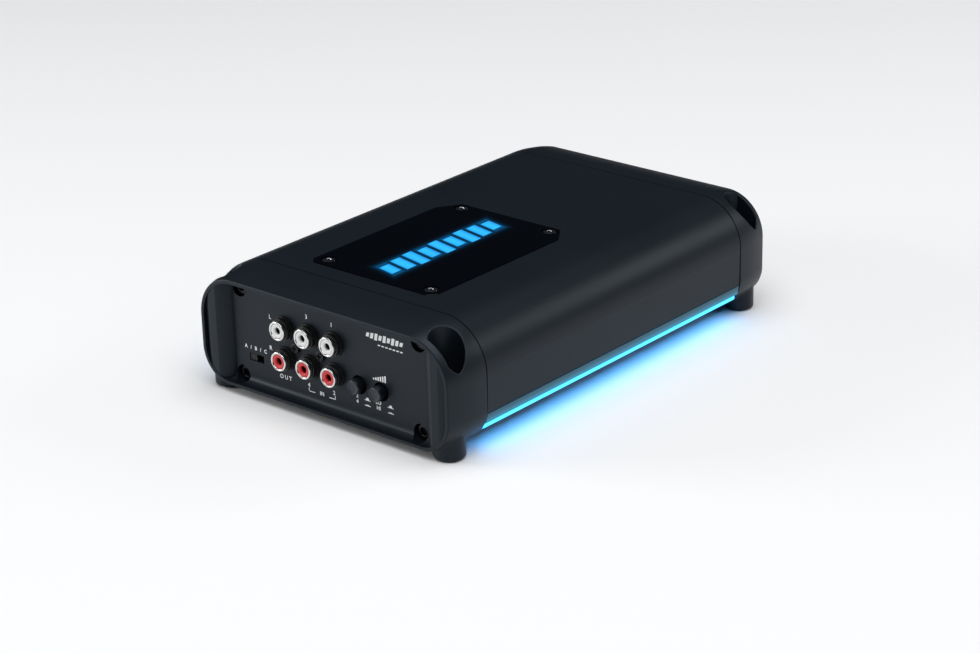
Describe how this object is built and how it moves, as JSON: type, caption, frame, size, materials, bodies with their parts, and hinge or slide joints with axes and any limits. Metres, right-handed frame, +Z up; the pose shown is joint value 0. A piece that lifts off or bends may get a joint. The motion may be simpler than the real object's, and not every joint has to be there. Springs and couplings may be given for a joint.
{
  "type": "car amplifier",
  "caption": "Low aluminium-bodied audio amplifier with rounded shoulders, end caps holding recessed connector panels, corner mounting posts, side light rails and an illuminated top badge",
  "frame": {"origin": "middle of the plane the four feet rest on", "axes": "+Z up, long axis along Y, signal panel faces -Y, power panel faces +Y"},
  "size_m": [0.1422, 0.2156, 0.0546],
  "materials": {
    "housing_black": "satin",
    "base_steel": "satin",
    "screw_black": "satin",
    "seal_rubber": "matte",
    "badge_gloss": "gloss",
    "blue_light": "gloss",
    "circuit_board": "satin",
    "rail_black": "satin",
    "moulding_black": "satin",
    "contact_silver": "gloss",
    "insert_white": "satin",
    "insert_red": "satin",
    "button_black": "satin",
    "ferrite_grey": "matte",
    "winding_copper": "satin",
    "capacitor_sleeve": "gloss",
    "pad_grey": "matte",
    "dial_white": "satin",
    "fuse_tan": "gloss"
  },
  "bodies": {
    "housing": {"heatsink_body": "housing_black", "base_plate": "base_steel", "base_plate_screws": "screw_black", "front_cap": "housing_black", "rear_cap": "housing_black", "front_seal": "seal_rubber", "rear_seal": "seal_rubber", "cap_screws": "screw_black", "badge_plate": "badge_gloss", "badge_seal": "seal_rubber", "badge_screws": "screw_black", "emblem_light_guide": "blue_light", "emblem_led_board": "circuit_board", "emblem_leds": "blue_light", "left_light_rail": "rail_black", "right_light_rail": "rail_black", "left_light_pipe": "blue_light", "right_light_pipe": "blue_light", "left_led_strip": "circuit_board", "right_led_strip": "circuit_board", "rca_housing": "moulding_black", "rca_shells": "contact_silver", "white_rca_inserts": "insert_white", "red_rca_inserts": "insert_red", "rca_contacts": "contact_silver", "rca_screws": "screw_black", "mode_switch_body": "moulding_black", "channel_switch_body": "moulding_black", "level_switch_body": "moulding_black", "main_board": "circuit_board", "board_standoffs": "contact_silver", "board_screws": "contact_silver", "transformer_core": "ferrite_grey", "transformer_winding": "winding_copper", "output_inductors": "ferrite_grey", "supply_capacitors": "capacitor_sleeve", "power_transistors": "moulding_black", "thermal_pads": "pad_grey", "transistor_clamps": "base_steel", "clamp_screws": "screw_black", "control_board": "circuit_board", "control_board_posts": "contact_silver", "board_connector": "moulding_black", "dial_bodies": "moulding_black", "filter_switch_bodies": "moulding_black", "power_terminal_block": "moulding_black", "speaker_terminal_block": "moulding_black", "terminal_plates": "contact_silver", "terminal_screws": "contact_silver", "fuse_holder": "moulding_black", "fuses": "fuse_tan"},
    "mode_slider": {"mode_slider": "moulding_black"},
    "channel_button": {"channel_button": "button_black"},
    "level_button": {"level_button": "button_black"},
    "front_gain_dial": {"front_gain_dial": "dial_white"},
    "rear_gain_dial": {"rear_gain_dial": "dial_white"},
    "front_crossover_dial": {"front_crossover_dial": "dial_white"},
    "rear_crossover_dial": {"rear_crossover_dial": "dial_white"},
    "front_filter_slider": {"front_filter_slider": "dial_white"},
    "rear_filter_slider": {"rear_filter_slider": "dial_white"}
  },
  "joints": [
    {"name": "mode_slide", "type": "slide", "parent": "housing", "child": "mode_slider", "axis": [1, 0, 0], "range_m": [0, 0.004]},
    {"name": "channel_push", "type": "slide", "parent": "housing", "child": "channel_button", "axis": [0, 1, 0], "range_m": [0, 0.002], "stiffness_N_per_m": 400},
    {"name": "level_push", "type": "slide", "parent": "housing", "child": "level_button", "axis": [0, 1, 0], "range_m": [0, 0.002], "stiffness_N_per_m": 400},
    {"name": "front_gain_turn", "type": "hinge", "parent": "housing", "child": "front_gain_dial", "pos_m": [-0.019, -0.052, 0.044], "axis": [0, 0, 1], "range_deg": [-150, 150]},
    {"name": "rear_gain_turn", "type": "hinge", "parent": "housing", "child": "rear_gain_dial", "pos_m": [0.019, -0.052, 0.044], "axis": [0, 0, 1], "range_deg": [-150, 150]},
    {"name": "front_crossover_turn", "type": "hinge", "parent": "housing", "child": "front_crossover_dial", "pos_m": [-0.019, -0.009, 0.044], "axis": [0, 0, 1], "range_deg": [-150, 150]},
    {"name": "rear_crossover_turn", "type": "hinge", "parent": "housing", "child": "rear_crossover_dial", "pos_m": [0.019, -0.009, 0.044], "axis": [0, 0, 1], "range_deg": [-150, 150]},
    {"name": "front_filter_slide", "type": "slide", "parent": "housing", "child": "front_filter_slider", "axis": [0, 1, 0], "range_m": [0, 0.004]},
    {"name": "rear_filter_slide", "type": "slide", "parent": "housing", "child": "rear_filter_slider", "axis": [0, 1, 0], "range_m": [0, 0.004]}
  ]
}
